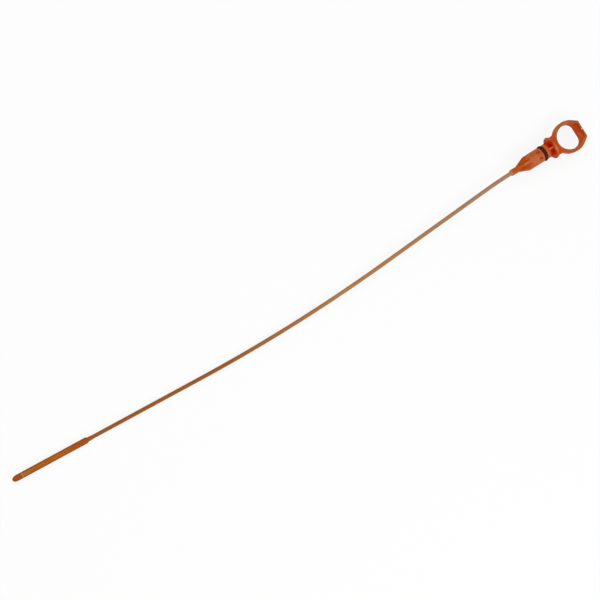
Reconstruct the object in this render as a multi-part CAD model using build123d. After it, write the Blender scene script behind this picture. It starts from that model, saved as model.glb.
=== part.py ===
from build123d import *
from math import cos, radians, sin, sqrt, tan
import os

# Engine oil dipstick, lying as it comes to rest. Sizes are in millimetres.
# X runs along the plug, from the stop face of the flange towards the blade. The finger ring lies
# level in the XY plane, Z is up, and the origin is on the plug's axis in the stop face.

# Finger ring
finger_hole_diameter = 22.6
hole_offset = 0.4
ring_wall = 3.2
ring_thickness = 6.4
ring_outer_edge_radius = 1.2
ring_inner_edge_radius = 0.5
base_width = 18.0
base_length = 3.1
base_blend_radius = 3.0

# Flat far end of the ring, with a thin panel set back inside a raised rim on both faces
head_width = 16.0
head_inset = 1.0
head_corner_radius = 1.0
head_rim = 1.9
chord_inset = 3.9
chord_corner_radius = 6.9
chord_edge_radius = 0.8
panel_width = 14.0
panel_thickness = 4.0
panel_corner_radius = 2.2
panel_blend_radius = 2.0
panel_root = 1.2
gate_mark_length = 1.5
gate_mark_width = 0.9
gate_mark_height = 0.25
gate_mark_inset = 0.3

# Round flange, whose front is the stop face
flange_diameter = 20.5
flange_thickness = 1.4
flange_edge_radius = 0.4

# Plug, in order from the stop face
plug_diameter = 13.5
plug_chamfer = 0.3
waist_length = 2.5
waist_rib = 1.8
waist_web = 2.4
waist_root_radius = 1.2
land_length = 4.7
barrel_length = 15.3
nose_length = 9.3
nose_blend_radius = 4.0
neck_diameter = 5.6
neck_length = 7.0
neck_edge_radius = 0.9

# Hollows moulded into the plug beside its centre rib, above and below
lip = 2.2
lip_pocket_length = 3.1
lip_pocket_width = 3.0
lip_pocket_spread = 3.2
lip_pocket_depth = 2.0
flute_lead = 3.2
flute_width = 3.4
flute_spread = 2.8
flute_depth = 1.2
flute_slope_degrees = 19.0
flute_runout = 1.4
hollow_floor_chamfer = 0.5

# Seal ring, and the room that its groove leaves beside and under it
seal_section = 2.6
seal_inner_diameter = 9.7
seal_side_clearance = 0.3
seal_floor_clearance = 0.02

# Rod, with the bow that it keeps when it lies free
rod_diameter = 3.6
rod_fit_clearance = 0.02
handle_socket_depth = 14.0
blade_socket_depth = 12.0
first_bend_lead = 12.7
first_run = 221.3
first_turn_degrees = 3.55
second_bend_reach = 98.9
second_run = 213.4
second_heading_degrees = -3.73

# Blade
blade_length = 76.7
blade_width = 5.7
blade_thickness = 4.4
blade_corner_radius = 1.2
blade_shoulder_length = 1.8
blade_shoulder_last_degrees = 50.0
blade_shoulder_steps = 4
blade_tip_length = 5.4
blade_tip_last_degrees = 84.0
blade_tip_steps = 7
blade_sleeve_length = 4.5
blade_sleeve_wall = 0.3
blade_sleeve_end_wall = 0.12
low_mark_from_tip = 10.8
low_mark_width = 1.3
low_mark_depth = 0.4
high_mark_from_tip = 56.0
high_mark_width = 0.7
high_mark_depth = 0.2

# Radii and stations along X that follow from the sizes above
hole_radius = finger_hole_diameter / 2
ring_radius = hole_radius + ring_wall
ring_centre_x = -(flange_thickness + base_length + ring_radius)
hole_centre_x = ring_centre_x + hole_offset
head_reach = ring_radius - head_inset
panel_reach = head_reach + hole_offset - head_rim
chord_reach = hole_radius - chord_inset
plug_radius = plug_diameter / 2
neck_radius = neck_diameter / 2
rod_radius = rod_diameter / 2
socket_radius = rod_radius + rod_fit_clearance
seal_radius = (seal_inner_diameter + seal_section) / 2
groove_radius = seal_inner_diameter / 2 - seal_floor_clearance
groove_width = seal_section + 2 * seal_side_clearance
land_x = waist_length
groove_x = land_x + land_length
barrel_x = groove_x + groove_width
nose_x = barrel_x + barrel_length
neck_x = nose_x + nose_length
neck_end_x = neck_x + neck_length
socket_end_x = neck_end_x - handle_socket_depth
floor_z = -flange_diameter / 2
blade_z = floor_z + blade_thickness / 2


def ring_outline():
    """Ring circle drawn out to a flat far end, with a straight-sided base that runs into the flange."""
    circle = Circle(ring_radius).edge()
    flat_end = Line((-head_reach, -head_width / 2), (-head_reach, head_width / 2))
    kept = Pos(ring_radius / 2 - head_reach / 2, 0) * Rectangle(ring_radius + head_reach, 2 * ring_radius)
    head = make_hull([circle, flat_end]) & kept
    head = fillet(head.vertices().sort_by(Axis.X)[:2], head_corner_radius)
    base_reach = -ring_centre_x - flange_thickness / 2
    base = Pos(base_reach / 2, 0) * Rectangle(base_reach, base_width)
    outline = head + base
    outline = fillet(outline.vertices().sort_by(Axis.X)[-4:-2], base_blend_radius)
    return Pos(ring_centre_x, 0) * outline


def rim_window():
    """Opening in the rim's faces: the round finger hole together with the bay of the panel."""
    bay = Pos(-panel_reach / 2, 0) * Rectangle(panel_reach, panel_width)
    window = Circle(hole_radius) + bay
    window = fillet(window.vertices().sort_by(Axis.X)[:2], panel_corner_radius)
    side = panel_width / 2
    entry_x = -sqrt(hole_radius**2 - side**2)
    entries = [window.vertices().sort_by_distance((entry_x, y, 0))[0] for y in (-side, side)]
    window = fillet(entries, panel_blend_radius)
    return Pos(hole_centre_x, 0) * window


def finger_hole():
    """Round hole with one side cut off straight by the panel."""
    kept = hole_radius + chord_reach
    side = Pos(kept / 2 - chord_reach, 0) * Rectangle(kept, finger_hole_diameter)
    hole = Circle(hole_radius) & side
    hole = fillet(hole.vertices().sort_by(Axis.X)[:2], chord_corner_radius)
    return Pos(hole_centre_x, 0) * hole


def panel():
    """Thin panel across the far side of the finger hole, rooted in the rim, with a rounded edge."""
    sheet = extrude(offset(rim_window(), panel_root) - finger_hole(), panel_thickness / 2, both=True)
    faces = sheet.faces().sort_by(Axis.Z)
    finger_edges = faces[0].inner_wires()[0].edges() + faces[-1].inner_wires()[0].edges()
    return fillet(finger_edges, chord_edge_radius)


def finger_ring():
    """Ring with rounded edges, the panel at its far end and the mark where the mould was filled."""
    half = ring_thickness / 2
    blank = extrude(ring_outline(), half, both=True)
    outer_edges = blank.edges().filter_by_position(Axis.Z, half, half).sort_by(Axis.X)[:-1]
    outer_edges += blank.edges().filter_by_position(Axis.Z, -half, -half).sort_by(Axis.X)[:-1]
    rim = fillet(outer_edges, ring_outer_edge_radius)
    rim -= extrude(rim_window(), half, both=True)
    faces = rim.faces().sort_by(Axis.Z)
    inner_edges = faces[0].inner_wires()[0].edges() + faces[-1].inner_wires()[0].edges()
    rim = fillet(inner_edges, ring_inner_edge_radius)
    mark_x = ring_centre_x - head_reach + gate_mark_inset + gate_mark_length / 2
    mark = extrude(Pos(mark_x, 0) * SlotOverall(gate_mark_length, gate_mark_width), half + gate_mark_height)
    return rim + panel() + mark


def flange():
    """Round flange with softened edges."""
    plate = extrude(Plane.YZ * Circle(flange_diameter / 2), -flange_thickness)
    return fillet(plate.edges(), flange_edge_radius)


def waist():
    """Cored stretch behind the seal: a centre rib crossed by a level web, with four deep pockets."""
    cross = Rectangle(waist_rib, plug_diameter) + Rectangle(plug_diameter, waist_web)
    cross = fillet(cross.vertices().sort_by_distance((0, 0, 0))[:4], waist_root_radius)
    return extrude(Plane.YZ * (cross & Circle(plug_radius)), land_x + plug_chamfer)


def plug_body():
    """Turned form of the plug: land, seal groove, barrel, tapered nose and neck."""
    profile = make_face(Polyline(
        (land_x, 0),
        (land_x, plug_radius),
        (groove_x, plug_radius),
        (groove_x, groove_radius),
        (barrel_x, groove_radius),
        (barrel_x, plug_radius),
        (nose_x, plug_radius),
        (neck_x, neck_radius),
        (neck_end_x, neck_radius),
        (neck_end_x, 0),
        close=True,
    ))
    nose_corners = profile.vertices().filter_by_position(Axis.X, nose_x, neck_x)
    profile = fillet(nose_corners, nose_blend_radius)
    neck_corner = profile.vertices().sort_by(Axis.X)[-2:].sort_by(Axis.Y)[-1]
    profile = fillet(neck_corner, neck_edge_radius)
    rims = profile.vertices().filter_by_position(Axis.X, land_x, barrel_x)
    rims = rims.filter_by_position(Axis.Y, plug_radius, plug_radius)
    profile = chamfer(rims, plug_chamfer)
    return revolve(profile, Axis.X)


def hollow(length, width, depth, slope=0):
    """Cutter for a round-ended hollow sunk from above, with its near end at X = 0 and a bevelled floor."""
    cutter = extrude(Pos(length / 2, 0) * SlotOverall(length, width), plug_radius)
    cutter = chamfer(cutter.faces().sort_by(Axis.Z)[0].edges(), hollow_floor_chamfer)
    return Pos(0, 0, plug_radius - depth) * Rot(0, slope, 0) * cutter


def plug():
    """Plug with its waist, its hollows on both faces and the socket for the rod."""
    solid = waist() + plug_body()
    pocket = Pos(barrel_x + lip, 0) * hollow(lip_pocket_length, lip_pocket_width, lip_pocket_depth)
    flute_length = flute_lead + nose_length - flute_runout
    flute = hollow(flute_length, flute_width, flute_depth, flute_slope_degrees)
    flute = Pos(nose_x - flute_lead, 0) * flute
    for side in (-1, 1):
        cutters = Pos(0, side * lip_pocket_spread) * pocket + Pos(0, side * flute_spread) * flute
        solid -= cutters
        solid -= mirror(cutters, Plane.XY)
    socket = extrude(Plane.YZ.offset(socket_end_x) * Circle(socket_radius), handle_socket_depth)
    return solid - socket


def handle():
    """Whole handle, moulded as one piece."""
    return finger_ring() + flange() + plug()


def seal_ring():
    """Rubber ring seated in the middle of its groove."""
    return Pos(groove_x + groove_width / 2, 0, 0) * Rot(0, 90, 0) * Torus(seal_radius, seal_section / 2)


def rod_points():
    """Corners of the rod's route: out of the handle, down and aside, then back along the floor."""
    start = Vector(socket_end_x, 0, 0)
    first = Vector(neck_end_x + first_bend_lead, 0, 0)
    out = radians(first_turn_degrees)
    second = first + Vector(first_run * cos(out), first_run * sin(out), blade_z)
    back = radians(second_heading_degrees)
    shoulder = second + Vector(cos(back), sin(back)) * second_run
    end = second + Vector(cos(back), sin(back)) * (second_run + blade_socket_depth)
    return start, first, second, shoulder, end


def bend_radius(before, corner, after, reach):
    """Radius of the arc that touches both runs at the given reach from their corner."""
    turn = (corner - before).get_angle(after - corner)
    return reach / tan(radians(turn) / 2)


def rod():
    """Round rod swept along straight runs joined by wide arcs."""
    start, first, second, _, end = rod_points()
    radii = [
        bend_radius(start, first, second, first_bend_lead),
        bend_radius(first, second, end, second_bend_reach),
    ]
    route = FilletPolyline(start, first, second, end, radius=radii)
    section = Plane(route @ 0, z_dir=route % 0) * Circle(rod_radius)
    return sweep(section, route)


def blade_section(shrink=0, scale=1):
    """Rounded rectangle across the blade, drawn in by a margin or scaled for the tip."""
    width = scale * blade_width - 2 * shrink
    thickness = scale * blade_thickness - 2 * shrink
    return RectangleRounded(width, thickness, scale * blade_corner_radius - shrink)


def oval_end(start, reach, last_degrees, steps):
    """End of the blade, lofted from the start through sections that shrink as the cosine of an angle."""
    sections = []
    for step in range(steps):
        angle = radians(last_degrees * step / (steps - 1))
        plane = Plane.YZ.offset(start + reach * sin(angle))
        sections.append(plane * blade_section(scale=cos(angle)))
    return loft(sections)


def mark_cutter(from_tip, width, depth):
    """Cutter for a mark: a shallow band around the blade."""
    band = offset(blade_section(), depth) - blade_section(depth)
    start = blade_length - from_tip - width / 2
    return extrude(Plane.YZ.offset(start) * band, width)


def blade():
    """Measuring blade with oval ends, a low and a high mark and the sleeve that grips the rod."""
    tip_x = blade_length - blade_tip_length
    bar = extrude(Plane.YZ.offset(blade_shoulder_length) * blade_section(), tip_x - blade_shoulder_length)
    bar += oval_end(tip_x, blade_tip_length, blade_tip_last_degrees, blade_tip_steps)
    shoulder_reach = blade_shoulder_length / sin(radians(blade_shoulder_last_degrees))
    bar += oval_end(blade_shoulder_length, -shoulder_reach, blade_shoulder_last_degrees, blade_shoulder_steps)
    bar -= mark_cutter(low_mark_from_tip, low_mark_width, low_mark_depth)
    bar -= mark_cutter(high_mark_from_tip, high_mark_width, high_mark_depth)
    sleeve_profile = make_face(Polyline(
        (-blade_sleeve_length, 0),
        (-blade_sleeve_length, socket_radius + blade_sleeve_end_wall),
        (blade_shoulder_length, socket_radius + blade_sleeve_wall),
        (blade_shoulder_length, 0),
        close=True,
    ))
    sleeve = revolve(sleeve_profile, Axis.X)
    socket_length = blade_sleeve_length + blade_socket_depth
    socket = extrude(Plane.YZ.offset(-blade_sleeve_length) * Circle(socket_radius), socket_length)
    *corners, shoulder, end = rod_points()
    return Plane(shoulder, x_dir=end - shoulder, z_dir=(0, 0, 1)) * (bar + sleeve - socket)


pieces = {
    "handle": handle(),
    "seal_ring": seal_ring(),
    "rod": rod(),
    "blade": blade(),
}

os.makedirs("parts", exist_ok=True)
for name, piece in pieces.items():
    export_step(piece, f"parts/{name}.step")
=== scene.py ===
import functools
import math

import bpy
from bpy.props import FloatProperty, FloatVectorProperty, IntProperty, PointerProperty
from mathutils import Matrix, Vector


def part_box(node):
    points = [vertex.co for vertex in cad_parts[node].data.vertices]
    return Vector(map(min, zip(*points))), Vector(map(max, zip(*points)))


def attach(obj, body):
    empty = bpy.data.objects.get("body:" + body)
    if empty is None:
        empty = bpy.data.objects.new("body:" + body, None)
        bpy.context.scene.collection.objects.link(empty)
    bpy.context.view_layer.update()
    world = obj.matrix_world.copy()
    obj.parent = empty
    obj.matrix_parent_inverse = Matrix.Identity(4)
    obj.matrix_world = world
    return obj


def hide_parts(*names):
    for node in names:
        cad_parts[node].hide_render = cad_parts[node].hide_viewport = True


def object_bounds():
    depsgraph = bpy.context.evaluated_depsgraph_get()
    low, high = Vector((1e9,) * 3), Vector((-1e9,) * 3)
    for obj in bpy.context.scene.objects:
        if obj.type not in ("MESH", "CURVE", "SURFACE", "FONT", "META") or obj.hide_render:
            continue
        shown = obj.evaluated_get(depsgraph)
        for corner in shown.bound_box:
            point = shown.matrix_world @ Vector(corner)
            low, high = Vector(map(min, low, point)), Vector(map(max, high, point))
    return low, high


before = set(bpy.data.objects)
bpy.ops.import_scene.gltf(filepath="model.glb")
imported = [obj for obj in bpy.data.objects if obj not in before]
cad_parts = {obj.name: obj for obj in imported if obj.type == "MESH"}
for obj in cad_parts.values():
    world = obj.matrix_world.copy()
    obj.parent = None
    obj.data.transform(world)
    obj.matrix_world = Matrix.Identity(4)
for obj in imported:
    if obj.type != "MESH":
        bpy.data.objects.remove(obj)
cad_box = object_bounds()

bl_info = {
    "name": "Oil Dipstick",
    "version": (1, 0, 0),
    "blender": (4, 5, 0),
    "location": "View3D > Sidebar > Dipstick",
    "description": "Dresses an engine oil dipstick and sets up its studio",
    "category": "Object",
}

MM = 0.001
SAME_POINT = 0.001 * MM
SENSOR = 36
WHITE = (1, 1, 1, 1)


def mm(*lengths):
    """Lengths in millimetres, brought to metres."""
    return tuple(length * MM for length in lengths)


# Places on the handle, from the stop face of the flange and from the plug's axis. A stretch gives its start,
# its end and the width of its soft edge. A rise gives where a tone is nothing and where it is full.
BARREL = mm(11, 24, 3)
LAND = mm(6, 7.3, 1.3)
NOSE_RISE = mm(25, 29)
FLUTES = mm(30, 33, 2.5)
FLUTES_ACROSS = mm(1.8, 3.6, 0.6)
RIDGE = mm(26, 28.5, 1.5)
RIDGE_RISE = mm(1.3, 0.7)
RING_RISE = mm(-6, -11)
RING_END_RISE = mm(-28, -22)
RING_SIDES_RISE = mm(-5, 7)
PANEL = mm(-31, -26.2, 0.5)
PANEL_ACROSS = mm(-7, 7, 0.3)
PANEL_UPRIGHT = mm(-2.1, 2.1, 0.2)
# Slope and place of the slanting edge where the painted shade over the sunk panel ends.
SHADE_EDGE_SLOPE = 1.49
SHADE_EDGE_RISE = mm(-38.9, -40.9)
FOOT = mm(-5, -1.5, 1.5)
BESIDE_RIB_RISE = mm(0.9, 2.2)
# Where the painted shade over the waist's pockets fades out on the land, and where it starts at the flange.
WAIST_SHADE_RISE = mm(5.4, 4.1)
WAIST_SHADE_START_RISE = mm(0, 0.2)
POCKETS_START_RISE = mm(-2, 0)
POCKETS_FADE = mm(8, 11)
BARREL_POCKETS = mm(12.3, 16, 0.5)
STOP_FACE = mm(-0.25, 0.2, 0.1)
STOP_FACE_ACROSS = mm(-7, 7, 1)
STOP_FACE_RISE = mm(9.5, 7.5)
CREST = mm(0.6, 4.1, 0.6)
CREST_ACROSS = mm(-0.8, 0.8, 0.1)
CREST_RISE = mm(5, 6)
FLANGE = mm(-1.4, 0, 0.1)
RIM_RISE = mm(5, 8)
RIM_SIDE_RISE = mm(-3, 2)
LIT_LOBE_RISE = mm(-5, -8)
CLEAN_LOBE_RISE = mm(4, 8)
PLUG = mm(3, 26, 1)
NECK_END_RISE = mm(-1.2, -0.7)
# Place of a small pale spot on the top of the ring's far end.
PALE_SPOT = mm(-32.3, -30.7, 0.1)
PALE_SPOT_ACROSS = mm(-0.5, 0.5, 0.1)
PALE_SPOT_RISE = mm(2.9, 3.1)
PARTING_LINE = mm(-0.04, 0.04, 0.05)

# Half the width of the seal's seam and its soft edge.
SEAM, SEAM_EDGE = mm(0.03, 0.04)

# Where the colour of the rod changes, from the stop face of the flange; the paler near and middle colours are a
# painted sheen that fades out towards the blade.
MIDDLE_RISE = mm(60, 170)
FAR_RISE = mm(230, 350)

# Places on the blade, from its tip and from its centre line.
TIP_ASIDE = 2.6 * MM
TIP_LENGTH = 5.4 * MM
HALF_WIDTH = 2.85 * MM
MOTTLE_DRIFT = mm(-2, 2)
PLASTIC_RISE = mm(15, 24)
UPPER_RISE = mm(52, 62)
TIP_RISE = mm(10.3, 10.1)
RUBS_RISE = mm(2, 7)
LOW_MARK = mm(10.2, 11.4, 0.1)
HIGH_MARK = mm(55.7, 56.3, 0.1)

# Where the painted shade along the blade's sides begins and where it is full, as shares of the way out from its
# centre line.
SIDE_RISE = (0.40, 0.80)

# Values between which most of a noise lies.
NOISE = (0.3, 0.7)

# How steeply a direction points up where the room is dimmest and where it is brightest.
ROOM_RISE = (0.0, 0.9)


def colour(name, description, default):
    """Colour that a user may change, as a linear value."""
    return FloatVectorProperty(
        name=name, description=description, default=default, subtype="COLOR", size=3, min=0, max=1
    )


def size(name, description, default):
    """Length that a user may change, in metres."""
    return FloatProperty(
        name=name, description=description, default=default, subtype="DISTANCE", unit="LENGTH", precision=5
    )


def share(name, description, default):
    """Plain factor from none to all."""
    return FloatProperty(name=name, description=description, default=default, subtype="FACTOR", min=0, max=1)


def spot(name, description, default):
    """Place that a user may change, in metres."""
    return FloatVectorProperty(
        name=name, description=description, default=default, subtype="TRANSLATION", unit="LENGTH", precision=5
    )


def turn(name, description, degrees):
    """Angle that a user may change, given in degrees."""
    return FloatProperty(
        name=name, description=description, default=math.radians(degrees), subtype="ANGLE", unit="ROTATION"
    )


def power(name, description, default):
    """Power of a lamp, in watts."""
    return FloatProperty(name=name, description=description, default=default, min=0, unit="POWER")


class HandleFinish(bpy.types.PropertyGroup):
    """Colours and surface of the moulded handle, and the size of its pockets"""

    plastic: colour("Plastic", "Main colour of the moulded plastic", (0.52, 0.098, 0.008))
    # Marks of the melt, and painted shade: the redder colour also grows towards the -Y side of the whole handle and
    # lies as painted shade over the waist.
    flow: colour("Flow marks and shade", "Redder plastic where the melt flowed slowly, with painted shade towards one side", (0.47, 0.048, 0.001))
    # Painted sheen: a paler, whiter orange where light would glance off the barrel and the land.
    painted_sheen: colour("Painted sheen", "Painted sheen on the barrel and the land", (0.51, 0.138, 0.042))
    nose: colour("Nose", "Browner plastic of the nose and neck", (0.46, 0.105, 0.008))
    # Painted sheen and painted shade: the finger ring's paler colour lies on its -Y side and its darker colour on
    # its +Y side, for how the light falls.
    ring_sheen: colour("Ring sheen", "Painted sheen on one side of the finger ring", (0.42, 0.150, 0.050))
    ring_shade: colour("Ring shade", "Painted shade on the other side of the ring", (0.40, 0.086, 0.015))
    # Painted shade: a deeper red laid over the sunk panel and in the flutes of the nose.
    panel: colour("Panel", "Painted shade over the sunk panel and in the flutes", (0.44, 0.043, 0.001))
    # Painted light: brighter plastic on the foot between the ring and the flange, where the flange shades it; the
    # same colour is laid over the flange's lower lobe.
    base: colour("Base", "Painted light on the foot between the ring and the flange", (0.57, 0.072, 0.003))
    # Painted shade: a deep, saturated red laid in the pockets by the crevice mask and on the flange's stop face.
    deep: colour("Deep", "Painted shade of deep red inside pockets", (0.68, 0.013, 0.001))
    # Painted shade in the small pockets of the barrel.
    barrel_pocket_shade: colour("Pocket shade", "Painted shade in the small pockets of the barrel", (0.37, 0.048, 0.006))
    # Real edge wear, and also painted highlights: the same paler colour is laid on the flange's rim, the rib's
    # crest, the nose's ridge and the flange's upper lobe.
    wear_and_highlight: colour("Wear and highlight", "Paler plastic along edges that wear, and painted highlights", (0.64, 0.18, 0.060))
    pale_spot: colour("Pale spot", "Pale spot at the middle of the ring's far end", (0.90, 0.58, 0.32))
    neck_end: colour("Neck end", "Pale rim where the rod goes in", (0.58, 0.27, 0.14))
    gloss: share("Roughness", "How dull the moulded skin is", 0.45)
    specular: share("Shine", "Strength of the reflections", 0.09)
    scatter: share("Scatter", "How much of the light goes into the plastic", 0.15)
    scatter_reach: size("Scatter reach", "How far the light goes into the plastic", 1.2 * MM)
    scatter_tint: colour("Scatter tint", "Share of that reach for red, green and blue", (1.0, 0.2, 0.05))
    flow_size: size("Flow size", "Length of the marks of the melt", 7.0 * MM)
    shade_drift: FloatProperty(
        name="Shade drift", description="How fast the painted shade grows towards one side, per metre", default=21
    )
    grain: size("Grain", "Size of the moulded grain", 0.35 * MM)
    edge: size("Edge", "Width of the worn edge", 0.30 * MM)
    pocket: size("Pocket", "Reach of the deep colour in pockets", 4.5 * MM)
    core_length: size("Core length", "Length of the four pockets from the flange", 4.1 * MM)
    core_width: size("Core width", "Width of a pocket from the rib outwards", 7.0 * MM)
    core_root: size("Core root", "Radius where the rib meets the web", 1.2 * MM)
    core_corner: size("Core corner", "Radius at the end of a pocket", 0.4 * MM)
    rib: size("Rib", "Thickness of the upright centre rib", 1.7 * MM)
    web: size("Web", "Thickness of the level web", 2.3 * MM)


class SealFinish(bpy.types.PropertyGroup):
    """Colours and surface of the seal ring"""

    rubber: colour("Rubber", "Colour of the rubber", (0.052, 0.009, 0.004))
    bloom: colour("Bloom", "Dusty bloom on the rubber", (0.080, 0.019, 0.008))
    gloss: share("Roughness", "How dull the rubber is", 0.50)
    specular: share("Shine", "Strength of the reflections", 0.08)


class RodSettings(bpy.types.PropertyGroup):
    """Route, thickness and colours of the rod"""

    diameter: size("Diameter", "Thickness of the rod", 3.6 * MM)
    start: spot("Start", "Closed end of the handle's socket", mm(28.0, 0, 0))
    first_corner: spot("First corner", "Where the line of the plug meets the first run", mm(54.7, 0, 0))
    first_reach: size("First reach", "Length of the first bend before its corner", 12.7 * MM)
    first_run: size("First run", "Level distance from the first corner to the second", 221.3 * MM)
    first_heading: turn("First heading", "Direction of the first run", 3.55)
    first_steps: IntProperty(name="First steps", description="Rings along the first bend", default=16, min=4)
    drop: size("Drop", "How far the rod comes down along the first run", 8.05 * MM)
    second_reach: size("Second reach", "Length of the long bow before its corner", 98.9 * MM)
    second_run: size("Second run", "Distance from the second corner to the end in the blade", 225.4 * MM)
    second_heading: turn("Second heading", "Direction of the second run", -3.73)
    second_steps: IntProperty(name="Second steps", description="Rings along the long bow", default=40, min=4)
    sides: IntProperty(name="Sides", description="Flats around the rod", default=40, min=12)
    # Painted sheen: the paler near and middle colours stand in for light glancing off the rod.
    near: colour("Near colour", "Colour beside the handle", (0.40, 0.205, 0.110))
    middle: colour("Middle colour", "Colour halfway along", (0.42, 0.185, 0.058))
    far: colour("Far colour", "Colour beside the blade", (0.32, 0.090, 0.009))
    gloss: share("Roughness", "How dull the drawn surface is", 0.45)
    specular: share("Shine", "Strength of the reflections", 0.15)


class BladeFinish(bpy.types.PropertyGroup):
    """Colours and surface of the measuring blade"""

    plastic: colour("Plastic", "Main colour of the blade", (0.43, 0.102, 0.002))
    tip: colour("Tip", "Redder colour of the tip", (0.39, 0.062, 0.001))
    measure: colour("Measure", "Lighter plastic above the low mark", (0.42, 0.130, 0.018))
    mark: colour("Marks", "Pale plastic in the two marks", (0.60, 0.28, 0.10))
    upper: colour("Upper end", "Colour towards the rod", (0.41, 0.077, 0.001))
    # Painted shade along the blade's rounded sides and towards its tip.
    side: colour("Sides", "Darker colour along the two sides", (0.27, 0.076, 0.003))
    gloss: share("Roughness", "How dull the blade is", 0.48)
    specular: share("Shine", "Strength of the reflections", 0.10)
    scatter: share("Scatter", "How much of the light goes into the plastic", 0.1)
    scatter_reach: size("Scatter reach", "How far the light goes into the plastic", 1.0 * MM)
    scatter_tint: colour("Scatter tint", "Share of that reach for red, green and blue", (1.0, 0.3, 0.05))


class StageSettings(bpy.types.PropertyGroup):
    """Floor, light and camera"""

    centre: spot("Centre", "Where the floor is centred and the lamps point", (0.26, 0, 0))
    floor: colour("Floor", "Colour of the studio floor", (0.90, 0.90, 0.90))
    bounce: colour("Bounce", "Light that the floor throws back at the piece", (0.60, 0.60, 0.60))
    floor_gloss: share("Floor roughness", "How dull the floor is", 0.9)
    floor_width: size("Floor width", "Side of the square floor", 12.0)
    shadow: share("Shadow", "How much of the shadow stays on the white floor", 0.16)
    zenith: share("Overhead", "Brightness of the room straight above", 0.85)
    horizon: share("Horizon", "Brightness of the room at the level of the eye", 0.40)
    backdrop: share("Backdrop", "Brightness of the room where the eye or a reflection sees it", 0.95)
    key: power("Key light", "Power of the larger lamp", 3.8)
    fill: power("Fill light", "Power of the smaller lamp", 1.8)
    lamp_aside: size("Lamp aside", "Distance of each lamp to the side", 0.70)
    lamp_height: size("Lamp height", "Height of each lamp", 0.75)
    lamp_length: size("Lamp length", "Long side of each lamp", 1.4)
    lamp_width: size("Lamp width", "Short side of each lamp", 0.7)
    camera_place: spot("Camera", "Where the camera stands", (0.259898, -0.004677, 0.5928))
    camera_turn: turn("Camera turn", "Turn of the picture about the upright line", 147.8)
    lens: FloatProperty(name="Lens", description="Focal length on a 36 mm sensor", default=40.08)


def opaque(rgb):
    """Colour property as the four numbers that a socket takes."""
    return (*rgb, 1)


class Nodes:
    """Node tree, with the sums, masks and mixes that finishes and light are made of."""

    def __init__(self, tree):
        self.tree = tree

    def feed(self, socket, value):
        """Link a socket to another node's output, or set it to a plain value."""
        if isinstance(value, bpy.types.NodeSocket):
            self.tree.links.new(value, socket)
        else:
            socket.default_value = value

    def add(self, kind, inputs=(), **settings):
        """Node with its settings, whose inputs are values or the outputs of other nodes."""
        node = self.tree.nodes.new(kind)
        for name, value in settings.items():
            setattr(node, name, value)
        for key, value in dict(inputs).items():
            self.feed(node.inputs[key], value)
        return node

    def reckon(self, operation, first, second=0.0):
        """Result of one sum on values."""
        return self.add("ShaderNodeMath", {0: first, 1: second}, operation=operation).outputs[0]

    def times(self, *values):
        """Product of several values."""
        return functools.reduce(lambda first, second: self.reckon("MULTIPLY", first, second), values)

    def remap(self, value, low, high, to_low=0.0, to_high=1.0):
        """Value brought from one range to another, held at its ends."""
        inputs = {"Value": value, "From Min": low, "From Max": high, "To Min": to_low, "To Max": to_high}
        return self.add("ShaderNodeMapRange", inputs).outputs[0]

    def band(self, value, low, high, soft):
        """One between two places, falling to nothing over the soft distance outside them."""
        return self.times(self.remap(value, low - soft, low), self.remap(value, high, high + soft, 1, 0))

    def blend(self, amount, below, above):
        """Colour that goes from one to the other with the amount."""
        return self.add("ShaderNodeMix", {0: amount, 6: below, 7: above}, data_type="RGBA").outputs[2]

    def split(self, place):
        """The three coordinates of a place."""
        return tuple(self.add("ShaderNodeSeparateXYZ", {0: place}).outputs)

    def direct_sight(self):
        """One where the eye, a reflection or clear plastic sees the backdrop, nothing where it only gives light."""
        paths = self.add("ShaderNodeLightPath").outputs
        seen = self.reckon("MAXIMUM", paths["Is Camera Ray"], paths["Is Glossy Ray"])
        return self.reckon("MAXIMUM", seen, paths["Is Transmission Ray"])


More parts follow.
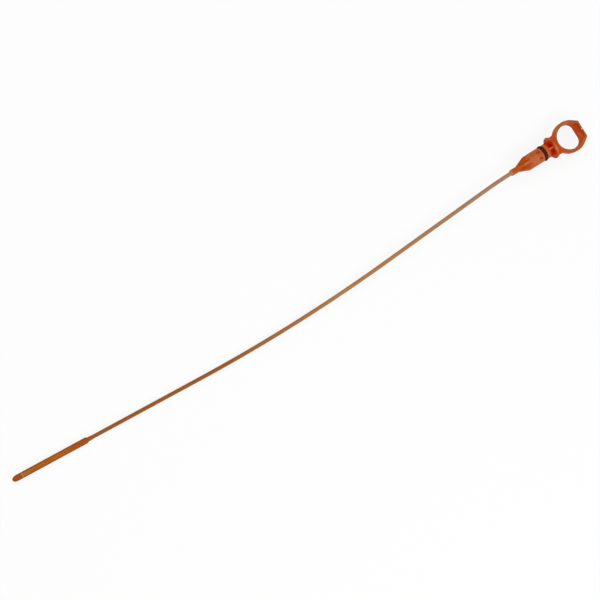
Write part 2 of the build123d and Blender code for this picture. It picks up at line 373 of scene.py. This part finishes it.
class Finish(Nodes):
    """New material, whose tone is laid on colour by colour before its shader gets it."""

    def __init__(self, name, rgb):
        self.material = bpy.data.materials.new(name)
        self.material.use_nodes = True
        super().__init__(self.material.node_tree)
        self.shader = self.tree.nodes["Principled BSDF"]
        self.tone = opaque(rgb)

    @functools.cached_property
    def place(self):
        """Place of each point on the piece."""
        return self.add("ShaderNodeTexCoord").outputs["Object"]

    @functools.cached_property
    def coordinates(self):
        """The three coordinates of each point on the piece."""
        return self.split(self.place)

    def grain(self, feature, detail, stretch=1, between=None, least=0.0):
        """Noise with features of one size, drawn out along X, or a mask that rises between two of its values."""
        scale = (1 / (feature * stretch), 1 / feature, 1 / feature)
        spread = self.add("ShaderNodeMapping", {"Vector": self.place, "Scale": scale}).outputs[0]
        noise = self.add("ShaderNodeTexNoise", {"Vector": spread, "Scale": 1, "Detail": detail}).outputs[0]
        return self.remap(noise, *between, to_low=least) if between else noise

    def worn_edges(self, width, flat=0.98, sharp=0.82):
        """One along edges, where a rounded normal turns away from the surface."""
        rounded = self.add("ShaderNodeBevel", {"Radius": width}, samples=6).outputs[0]
        surface = self.add("ShaderNodeNewGeometry").outputs["Normal"]
        match = self.add("ShaderNodeVectorMath", {0: rounded, 1: surface}, operation="DOT_PRODUCT")
        return self.remap(match.outputs["Value"], flat, sharp)

    def crevices(self, reach, open_sky=0.80, hidden=0.35):
        """One deep inside pockets and grooves of the piece itself, nothing on open faces."""
        sky = self.add("ShaderNodeAmbientOcclusion", {"Distance": reach}, samples=12, only_local=True)
        return self.remap(sky.outputs["AO"], open_sky, hidden)

    def vary(self, value, pattern, less, more, between=(0, 1)):
        """Value that goes from a little less to a little more with a pattern."""
        return self.remap(pattern, *between, value - less, value + more)

    def paint(self, rgb, *masks, strength=1):
        """Lay a colour over the tone where every mask is one."""
        amount = self.times(*masks)
        if strength < 1:
            amount = self.times(amount, strength)
        above = rgb if isinstance(rgb, bpy.types.NodeSocket) else opaque(rgb)
        self.tone = self.blend(amount, self.tone, above)

    def speckle(self, noise, darker, lighter):
        """Make the tone darker and lighter with a noise."""
        shade = self.vary(1, noise, darker, lighter, NOISE)
        self.tone = self.add("ShaderNodeVectorMath", {0: self.tone, 1: shade}, operation="MULTIPLY").outputs[0]

    def surface(self, roughness, specular=None):
        """Give the shader its tone, its roughness and the strength of its reflections."""
        self.feed(self.shader.inputs["Base Color"], self.tone)
        self.feed(self.shader.inputs["Roughness"], roughness)
        if specular is not None:
            self.shader.inputs["Specular IOR Level"].default_value = specular

    def scatter(self, look):
        """Let some light into the plastic."""
        self.shader.inputs["Subsurface Weight"].default_value = look.scatter
        self.shader.inputs["Subsurface Radius"].default_value = look.scatter_tint
        self.shader.inputs["Subsurface Scale"].default_value = look.scatter_reach

    def bump(self, *heights, depth):
        """Bump from several heights and their strengths, one over the other, on the shader's normal."""
        inputs = {"Distance": depth}
        for height, strength in heights:
            inputs.update({"Height": height, "Strength": strength})
            inputs["Normal"] = self.add("ShaderNodeBump", inputs).outputs[0]
        self.feed(self.shader.inputs["Normal"], inputs["Normal"])


def pick_edges(piece, wanted):
    """Select the edges whose two ends pass the test, and stay in edit mode."""
    bpy.ops.object.mode_set(mode="EDIT")
    bpy.ops.mesh.select_mode(type="EDGE")
    bpy.ops.mesh.select_all(action="DESELECT")
    bpy.ops.object.mode_set(mode="OBJECT")
    for edge in piece.data.edges:
        edge.select = all(wanted(piece.data.vertices[end].co) for end in edge.vertices)
    bpy.ops.object.mode_set(mode="EDIT")


def apply_modifier(piece, kind, **settings):
    """Add one modifier with its settings to the piece and apply it."""
    modifier = piece.modifiers.new(kind.lower(), kind)
    for name, value in settings.items():
        setattr(modifier, name, value)
    bpy.context.view_layer.objects.active = piece
    bpy.ops.object.modifier_apply(modifier=modifier.name)


def pocket_core(context, look):
    """Mould core of the four pockets beside the centre rib and the level web, with rounded corners."""
    wide = look.core_width
    middle = (look.core_length / 2, (look.rib + wide) / 2, (look.web + wide) / 2)
    bpy.ops.object.select_all(action="DESELECT")
    bpy.ops.mesh.primitive_cube_add(size=1, location=middle, scale=(look.core_length, wide, wide))
    core = context.object
    bpy.ops.object.transform_apply(location=True, rotation=True, scale=True)
    pick_edges(core, lambda end: end.y < look.rib and end.z < look.web)
    bpy.ops.mesh.bevel(offset=look.core_root, segments=8, affect="EDGES")
    pick_edges(core, lambda end: end.x > look.core_length / 2)
    bpy.ops.mesh.bevel(offset=look.core_corner, segments=4, affect="EDGES")
    bpy.ops.object.mode_set(mode="OBJECT")
    apply_modifier(core, "MIRROR", use_axis=(False, True, True), use_mirror_merge=False)
    bpy.ops.object.mode_set(mode="EDIT")
    bpy.ops.mesh.select_all(action="SELECT")
    bpy.ops.mesh.normals_make_consistent(inside=False)
    bpy.ops.object.mode_set(mode="OBJECT")
    return core


def cored_handle(context, look):
    """Copy of the handle whose pockets reach further from the flange towards the seal."""
    piece = bpy.data.objects.new("handle_moulded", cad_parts["handle"].data.copy())
    context.collection.objects.link(piece)
    core = pocket_core(context, look)
    bpy.ops.object.select_all(action="DESELECT")
    piece.select_set(True)
    context.view_layer.objects.active = piece
    bpy.ops.object.mode_set(mode="EDIT")
    bpy.ops.mesh.select_all(action="SELECT")
    bpy.ops.mesh.remove_doubles(threshold=SAME_POINT)
    bpy.ops.mesh.customdata_custom_splitnormals_clear()
    bpy.ops.object.mode_set(mode="OBJECT")
    apply_modifier(piece, "BOOLEAN", operation="DIFFERENCE", solver="EXACT", object=core)
    bpy.ops.object.shade_smooth_by_angle(angle=math.radians(30))
    apply_modifier(piece, "WEIGHTED_NORMAL", keep_sharp=True)
    bpy.ops.object.select_all(action="DESELECT")
    core.select_set(True)
    bpy.ops.object.delete()
    return piece


def paint_plug(finish, look, patches):
    """Painted sheen on the barrel and land, browner nose with painted shade in the flutes, and a painted highlight
    along the ridge between them.
    """
    x, y, _ = finish.coordinates
    aside = finish.reckon("ABSOLUTE", y)
    barrel = finish.times(finish.band(x, *BARREL), patches)
    # Painted sheen in patches on the barrel, and the same paler colour over the land beside the seal.
    finish.paint(look.painted_sheen, finish.reckon("MAXIMUM", barrel, finish.band(x, *LAND)))
    finish.paint(look.nose, finish.remap(x, *NOSE_RISE), patches)
    # Painted shade in the flutes of the nose, in the panel's deeper red.
    finish.paint(look.panel, finish.band(x, *FLUTES), finish.band(aside, *FLUTES_ACROSS), strength=0.65)
    # Painted highlight along the top of the ridge between the barrel and the nose.
    finish.paint(look.wear_and_highlight, finish.band(x, *RIDGE), finish.remap(aside, *RIDGE_RISE), strength=0.6)


def paint_ring(finish, look, patches):
    """Painted sheen on one side of the finger ring and painted shade on the other, painted shade over the sunk
    panel up to a slanting edge, and painted light on the foot at the flange.
    """
    x, y, z = finish.coordinates
    # Painted sheen on the ring's -Y side, turning into painted shade on its +Y side.
    sides = finish.blend(finish.remap(y, *RING_SIDES_RISE), opaque(look.ring_sheen), opaque(look.ring_shade))
    finish.paint(sides, finish.remap(x, *RING_RISE), patches, finish.remap(x, *RING_END_RISE, to_low=0.3))
    # Painted shade over the sunk panel, up to a slanting edge.
    shade_edge = finish.reckon("ADD", y, finish.times(x, SHADE_EDGE_SLOPE))
    finish.paint(
        look.panel,
        finish.band(z, *PANEL_UPRIGHT), finish.band(y, *PANEL_ACROSS), finish.band(x, *PANEL),
        finish.remap(shade_edge, *SHADE_EDGE_RISE),
    )
    # Painted light on the foot, where the flange shades it.
    finish.paint(look.base, finish.band(x, *FOOT), strength=0.8)


def paint_waist(finish, look):
    """Painted shade over the waist and its pockets, in the small pockets of the barrel and on the stop face,
    painted highlights on the rib and the flange's rim, and painted sheen on the flange's upper lobe; gives the mask
    of the pockets.
    """
    x, y, z = finish.coordinates
    beside_rib = finish.remap(finish.reckon("ABSOLUTE", y), *BESIDE_RIB_RISE)
    # Painted shade in the redder colour inside the pockets beside the rib, fading out over the land.
    waist_shade = finish.times(finish.remap(x, *WAIST_SHADE_RISE), finish.remap(x, *WAIST_SHADE_START_RISE))
    finish.paint(look.flow, waist_shade, beside_rib, strength=0.9)
    # Painted shade of deep red in the pockets, where the crevice mask finds them.
    hollows = finish.crevices(look.pocket)
    fade = finish.remap(x, *POCKETS_FADE, to_low=1, to_high=0.5)
    pockets = finish.times(hollows, finish.remap(x, *POCKETS_START_RISE), fade)
    finish.paint(look.deep, pockets)
    # Painted shade in the small pockets of the barrel, where the crevice mask finds them.
    finish.paint(look.barrel_pocket_shade, hollows, finish.band(x, *BARREL_POCKETS))
    # Painted shade on the flange's stop face beside the rib.
    face = finish.times(finish.band(x, *STOP_FACE), finish.band(y, *STOP_FACE_ACROSS))
    finish.paint(look.deep, face, beside_rib, finish.remap(z, *STOP_FACE_RISE), strength=0.6)
    # Painted highlights on the top of the flange's rim and on the crest of the rib.
    flange = finish.band(x, *FLANGE)
    rim = finish.times(flange, finish.remap(z, *RIM_RISE), finish.remap(y, *RIM_SIDE_RISE))
    crest = finish.remap(finish.reckon("ABSOLUTE", z), *CREST_RISE, to_high=0.55)
    crest = finish.times(crest, finish.band(x, *CREST), finish.band(y, *CREST_ACROSS))
    finish.paint(look.wear_and_highlight, finish.reckon("MAXIMUM", rim, crest))
    # Painted sheen on the flange's upper lobe.
    finish.paint(look.wear_and_highlight, flange, finish.remap(y, *LIT_LOBE_RISE), strength=0.6)
    return pockets


def paint_wear(finish, look, pockets):
    """Rubs along the plug, edge wear outside the pockets, and the pale ends; gives the mask of the wear."""
    x, y, z = finish.coordinates
    rubs = finish.grain(0.25 * MM, detail=3, stretch=24, between=(0.60, 0.72))
    finish.paint(look.wear_and_highlight, rubs, finish.band(x, *PLUG), strength=0.35)
    scuffs = finish.grain(1.2 * MM, detail=4, between=(0.40, 0.62))
    wear = finish.times(finish.worn_edges(look.edge), scuffs, finish.reckon("SUBTRACT", 1, pockets))
    finish.paint(look.wear_and_highlight, wear, strength=0.6)
    # The brighter foot colour is also laid over the flange's lower lobe, covering its edge wear.
    finish.paint(look.base, finish.band(x, *FLANGE), finish.remap(y, *CLEAN_LOBE_RISE), strength=0.9)
    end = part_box("handle")[1].x
    finish.paint(look.neck_end, finish.remap(x, *(end + before for before in NECK_END_RISE)), strength=0.8)
    # A small pale spot on the top of the ring's far end.
    spot_mask = finish.times(finish.band(x, *PALE_SPOT), finish.band(y, *PALE_SPOT_ACROSS))
    finish.paint(look.pale_spot, spot_mask, finish.remap(z, *PALE_SPOT_RISE))
    return wear


class DIPSTICK_OT_handle(bpy.types.Operator):
    """Cut the handle's pockets to their length and give it its moulded orange plastic"""

    bl_idname = "dipstick.handle"
    bl_label = "Handle"

    def execute(self, context):
        look = context.scene.dipstick_handle
        finish = Finish("moulded_handle", look.plastic)
        _, y, z = finish.coordinates
        melt = finish.grain(look.flow_size, detail=4, stretch=2.2)
        # Painted shade: the redder marks grow towards the -Y side of the handle.
        flow = finish.remap(finish.reckon("SUBTRACT", melt, finish.times(y, look.shade_drift)), *NOISE)
        finish.paint(look.flow, flow)
        patches = finish.grain(5 * MM, detail=3, between=(0.30, 0.65), least=0.35)
        paint_plug(finish, look, patches)
        paint_ring(finish, look, patches)
        pockets = paint_waist(finish, look)
        finish.speckle(finish.grain(look.grain, detail=2), darker=0.07, lighter=0.06)
        wear = paint_wear(finish, look, pockets)
        roughness = finish.vary(look.gloss, flow, less=0.05, more=0.06)
        dulled = finish.remap(wear, 0, 1, to_high=0.12)
        finish.surface(finish.reckon("ADD", roughness, dulled), look.specular)
        finish.scatter(look)
        skin = finish.grain(look.grain, detail=3)
        parting = finish.band(z, *PARTING_LINE)
        finish.bump((skin, 0.20), (parting, 0.35), (flow, 0.10), depth=0.05 * MM)
        piece = cored_handle(context, look)
        piece.material_slots[0].material = finish.material
        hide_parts("handle")
        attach(piece, "root")
        return {"FINISHED"}


class DIPSTICK_OT_seal(bpy.types.Operator):
    """Give the seal ring its black rubber"""

    bl_idname = "dipstick.seal"
    bl_label = "Seal ring"

    def execute(self, context):
        look = context.scene.dipstick_seal
        finish = Finish("seal_ring_rubber", look.rubber)
        dust = finish.grain(1.6 * MM, detail=4, between=(0.42, 0.70))
        finish.paint(look.bloom, dust)
        finish.surface(finish.vary(look.gloss, dust, less=0.06, more=0.14), look.specular)
        low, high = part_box("seal_ring")
        middle = (low.x + high.x) / 2
        seam = finish.band(finish.coordinates[0], middle - SEAM, middle + SEAM, SEAM_EDGE)
        finish.bump((finish.grain(0.15 * MM, detail=3), 0.25), (seam, 0.5), depth=0.04 * MM)
        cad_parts["seal_ring"].material_slots[0].material = finish.material
        return {"FINISHED"}


def level_run(heading, length):
    """Level step of the given length in a direction."""
    return Vector((math.cos(heading), math.sin(heading), 0)) * length


def drawn_rod(context, rod):
    """Round bar from the handle's socket, round its two bends and into the blade's."""
    start, first = Vector(rod.start), Vector(rod.first_corner)
    second = first + level_run(rod.first_heading, rod.first_run) - Vector((0, 0, rod.drop))
    end = second + level_run(rod.second_heading, rod.second_run)
    bpy.ops.object.select_all(action="DESELECT")
    bpy.ops.mesh.primitive_circle_add(
        vertices=rod.sides, radius=rod.diameter / 2, fill_type="NGON",
        location=start, rotation=(0, math.pi / 2, 0),
    )
    piece = context.object
    piece.name = "rod_drawn"
    bpy.ops.object.transform_apply(location=True, rotation=True, scale=True)
    bpy.ops.object.mode_set(mode="EDIT")
    bpy.ops.mesh.select_all(action="SELECT")
    here = start
    for before, corner, after, reach, steps in (
        (start, first, second, rod.first_reach, rod.first_steps),
        (first, second, end, rod.second_reach, rod.second_steps),
    ):
        along, onward = (corner - before).normalized(), (after - corner).normalized()
        touch = corner - along * reach
        bpy.ops.mesh.extrude_region_move(TRANSFORM_OT_translate={"value": touch - here})
        angle = along.angle(onward)
        axis = along.cross(onward).normalized()
        centre = touch + axis.cross(along) * reach / math.tan(angle / 2)
        bpy.ops.mesh.spin(steps=steps, angle=-angle, center=centre, axis=axis)
        here = corner + onward * reach
    bpy.ops.mesh.extrude_region_move(TRANSFORM_OT_translate={"value": end - here})
    bpy.ops.mesh.select_all(action="SELECT")
    bpy.ops.mesh.remove_doubles(threshold=SAME_POINT)
    bpy.ops.mesh.normals_make_consistent(inside=False)
    bpy.ops.object.mode_set(mode="OBJECT")
    bpy.ops.object.shade_smooth_by_angle(angle=math.radians(40))
    return piece


class DIPSTICK_OT_rod(bpy.types.Operator):
    """Draw the round rod out of the handle and along its two bends into the blade"""

    bl_idname = "dipstick.rod"
    bl_label = "Rod"

    def execute(self, context):
        rod = context.scene.dipstick_rod
        piece = drawn_rod(context, rod)
        finish = Finish("drawn_rod", rod.near)
        x = finish.coordinates[0]
        # Painted sheen near the handle and halfway along, fading out towards the blade.
        finish.paint(rod.middle, finish.remap(x, *MIDDLE_RISE))
        finish.paint(rod.far, finish.remap(x, *FAR_RISE))
        streaks = finish.grain(0.7 * MM, detail=4, stretch=30)
        finish.speckle(streaks, darker=0.08, lighter=0.07)
        finish.surface(finish.vary(rod.gloss, streaks, less=0.06, more=0.08, between=NOISE), rod.specular)
        finish.bump((streaks, 0.15), (finish.grain(0.3 * MM, detail=3), 0.12), depth=0.04 * MM)
        piece.data.materials.append(finish.material)
        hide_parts("rod")
        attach(piece, "root")
        return {"FINISHED"}


class DIPSTICK_OT_blade(bpy.types.Operator):
    """Give the blade its plastic, lighter where the level is read"""

    bl_idname = "dipstick.blade"
    bl_label = "Blade"

    def execute(self, context):
        look = context.scene.dipstick_blade
        finish = Finish("moulded_blade", look.measure)
        low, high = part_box("blade")
        from_tip = {
            "Vector": finish.place,
            "Location": (high.x, low.y + TIP_ASIDE, 0),
            "Rotation": (0, 0, context.scene.dipstick_rod.second_heading),
        }
        finish.place = finish.add("ShaderNodeMapping", from_tip, vector_type="TEXTURE").outputs[0]
        ahead, across, _ = finish.coordinates
        back = finish.times(ahead, -1)
        mottle = finish.grain(2.2 * MM, detail=4, stretch=4)
        uneven = finish.reckon("ADD", back, finish.remap(mottle, *NOISE, *MOTTLE_DRIFT))
        finish.paint(look.plastic, finish.remap(uneven, *PLASTIC_RISE))
        finish.paint(look.upper, finish.remap(uneven, *UPPER_RISE))
        finish.paint(look.tip, finish.remap(back, *TIP_RISE))
        # Painted shade, growing outwards from the centre line to the sides and towards the tip.
        aside = finish.reckon("POWER", finish.reckon("DIVIDE", across, HALF_WIDTH), 2)
        onward = finish.reckon("POWER", finish.remap(back, TIP_LENGTH, 0), 2)
        outward = finish.reckon("SQRT", finish.reckon("ADD", aside, onward))
        finish.paint(look.side, finish.remap(outward, *SIDE_RISE))
        rubs = finish.grain(0.2 * MM, detail=3, stretch=40, between=(0.58, 0.72))
        finish.paint(look.mark, rubs, finish.remap(back, *RUBS_RISE), strength=0.22)
        finish.paint(look.mark, finish.band(back, *LOW_MARK), strength=0.65)
        finish.paint(look.mark, finish.band(back, *HIGH_MARK), strength=0.2)
        finish.speckle(mottle, darker=0.08, lighter=0.07)
        finish.surface(finish.vary(look.gloss, mottle, less=0.05, more=0.08, between=NOISE), look.specular)
        finish.scatter(look)
        finish.bump((finish.grain(0.3 * MM, detail=3), 0.22), (mottle, 0.10), depth=0.04 * MM)
        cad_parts["blade"].material_slots[0].material = finish.material
        return {"FINISHED"}


def lay_floor(context, look):
    """White floor that keeps a little of the shadow and throws less light back than the eye sees."""
    bpy.ops.object.select_all(action="DESELECT")
    bpy.ops.mesh.primitive_plane_add(size=look.floor_width, location=(look.centre.x, look.centre.y, cad_box[0].z))
    floor = context.object
    floor.name = "studio_floor"
    finish = Finish("white_floor", look.bounce)
    seen = finish.direct_sight()
    finish.paint(look.floor, seen)
    finish.surface(look.floor_gloss)
    glow = finish.add("ShaderNodeEmission", {"Color": WHITE, "Strength": 1})
    unshaded = finish.times(seen, 1 - look.shadow)
    mix = finish.add("ShaderNodeMixShader", {0: unshaded, 1: finish.shader.outputs[0], 2: glow.outputs[0]})
    finish.feed(finish.tree.nodes["Material Output"].inputs["Surface"], mix.outputs[0])
    floor.data.materials.append(finish.material)


def light_room(context, look):
    """Room that is brighter overhead, and pale where the eye sees it."""
    world = bpy.data.worlds.new("studio")
    context.scene.world = world
    world.use_nodes = True
    room = Nodes(world.node_tree)
    height = room.split(room.add("ShaderNodeTexCoord").outputs["Generated"])[2]
    light = room.remap(height, *ROOM_RISE, look.horizon, look.zenith)
    strength = room.add("ShaderNodeMix", {0: room.direct_sight(), 2: light, 3: look.backdrop}).outputs[0]
    background = world.node_tree.nodes["Background"]
    room.feed(background.inputs["Strength"], strength)
    room.feed(background.inputs["Color"], WHITE)


def hang_lamps(context, look):
    """Soft lamp on each side of the piece."""
    for name, side, strength in (("key_light", 1, look.key), ("fill_light", -1, look.fill)):
        place = (look.centre.x, side * look.lamp_aside, look.lamp_height)
        bpy.ops.object.light_add(type="AREA", location=place)
        lamp = context.object
        lamp.name = name
        lamp.data.shape = "RECTANGLE"
        lamp.data.size = look.lamp_length
        lamp.data.size_y = look.lamp_width
        lamp.data.energy = strength
        lamp.rotation_euler = (look.centre - lamp.location).to_track_quat("-Z", "Y").to_euler()


class DIPSTICK_OT_stage(bpy.types.Operator):
    """Set the white floor, the soft light and the camera"""

    bl_idname = "dipstick.stage"
    bl_label = "Stage"

    def execute(self, context):
        look = context.scene.dipstick_stage
        lay_floor(context, look)
        light_room(context, look)
        hang_lamps(context, look)
        bpy.ops.object.camera_add(location=look.camera_place, rotation=(0, 0, look.camera_turn))
        camera = context.object
        camera.data.lens = look.lens
        camera.data.sensor_width = SENSOR
        context.scene.camera = camera
        context.scene.view_settings.view_transform = "Standard"
        return {"FINISHED"}


STEPS = (
    (DIPSTICK_OT_handle, HandleFinish, "dipstick_handle"),
    (DIPSTICK_OT_seal, SealFinish, "dipstick_seal"),
    (DIPSTICK_OT_rod, RodSettings, "dipstick_rod"),
    (DIPSTICK_OT_blade, BladeFinish, "dipstick_blade"),
    (DIPSTICK_OT_stage, StageSettings, "dipstick_stage"),
)


class DIPSTICK_PT_sidebar(bpy.types.Panel):
    """Sizes, colours and steps of the dipstick"""

    bl_idname = "DIPSTICK_PT_sidebar"
    bl_label = "Oil dipstick"
    bl_space_type = "VIEW_3D"
    bl_region_type = "UI"
    bl_category = "Dipstick"

    def draw(self, context):
        for step, settings, group in STEPS:
            box = self.layout.box()
            box.operator(step.bl_idname)
            for name in settings.__annotations__:
                box.prop(getattr(context.scene, group), name)


def register():
    """Add the settings, the steps and the sidebar to Blender."""
    for step, settings, group in STEPS:
        bpy.utils.register_class(settings)
        bpy.utils.register_class(step)
        setattr(bpy.types.Scene, group, PointerProperty(type=settings))
    bpy.utils.register_class(DIPSTICK_PT_sidebar)


def unregister():
    """Take the settings, the steps and the sidebar out of Blender again."""
    bpy.utils.unregister_class(DIPSTICK_PT_sidebar)
    for step, settings, group in STEPS:
        delattr(bpy.types.Scene, group)
        bpy.utils.unregister_class(step)
        bpy.utils.unregister_class(settings)


def main():
    """Make every piece and the stage in order."""
    register()
    bpy.ops.dipstick.handle()
    bpy.ops.dipstick.seal()
    bpy.ops.dipstick.rod()
    bpy.ops.dipstick.blade()
    bpy.ops.dipstick.stage()


if __name__ == "__main__":
    main()
